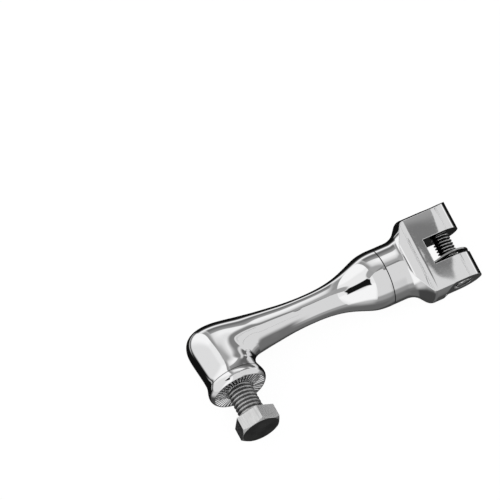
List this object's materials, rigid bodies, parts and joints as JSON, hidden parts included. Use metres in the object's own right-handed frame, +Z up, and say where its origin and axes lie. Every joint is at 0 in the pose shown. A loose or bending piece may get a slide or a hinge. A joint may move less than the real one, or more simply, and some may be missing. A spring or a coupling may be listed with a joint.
{
  "type": "motorcycle foot peg mount arm",
  "caption": "Chromed elbow arm with a splined foot, a part-run hexagon bolt, and a swivelling slotted clevis with a cross screw that holds a motorcycle foot peg.",
  "frame": {"origin": "centre of the splined foot's face, on the mounting bolt's axis", "axes": "+X along the arm from the elbow to the clevis; +Y into the foot, away from the mounting bolt's head; +Z up, the side that the picture is taken from"},
  "size_m": [0.1505, 0.0698, 0.0302],
  "materials": {
    "chrome": "mirror polished chrome plate",
    "bolt_steel": "satin zinc plated steel",
    "screw_steel": "plated steel thread",
    "black_steel": "black oxide",
    "spring_steel": "plated spring steel"
  },
  "bodies": {
    "arm": {"arm": "chrome", "clevis_screw": "black_steel", "lock_washer": "spring_steel"},
    "clevis": {"clevis": "chrome", "spring_washer": "spring_steel"},
    "mounting_bolt": {"mounting_bolt": "bolt_steel"},
    "pivot_screw": {"pivot_screw": "screw_steel"}
  },
  "joints": [
    {"name": "clevis_swivel", "type": "hinge", "parent": "arm", "child": "clevis", "pos_m": [0.0894, 0.0249, 0], "axis": [1, 0, 0], "continuous": true},
    {"name": "bolt_travel", "type": "slide", "parent": "arm", "child": "mounting_bolt", "axis": [0, 1, 0], "range_m": [-0.0235, 0.0045]},
    {"name": "screw_travel", "type": "slide", "parent": "clevis", "child": "pivot_screw", "axis": [0, 0.9703, 0.2419], "range_m": [0, 0.0265]}
  ]
}
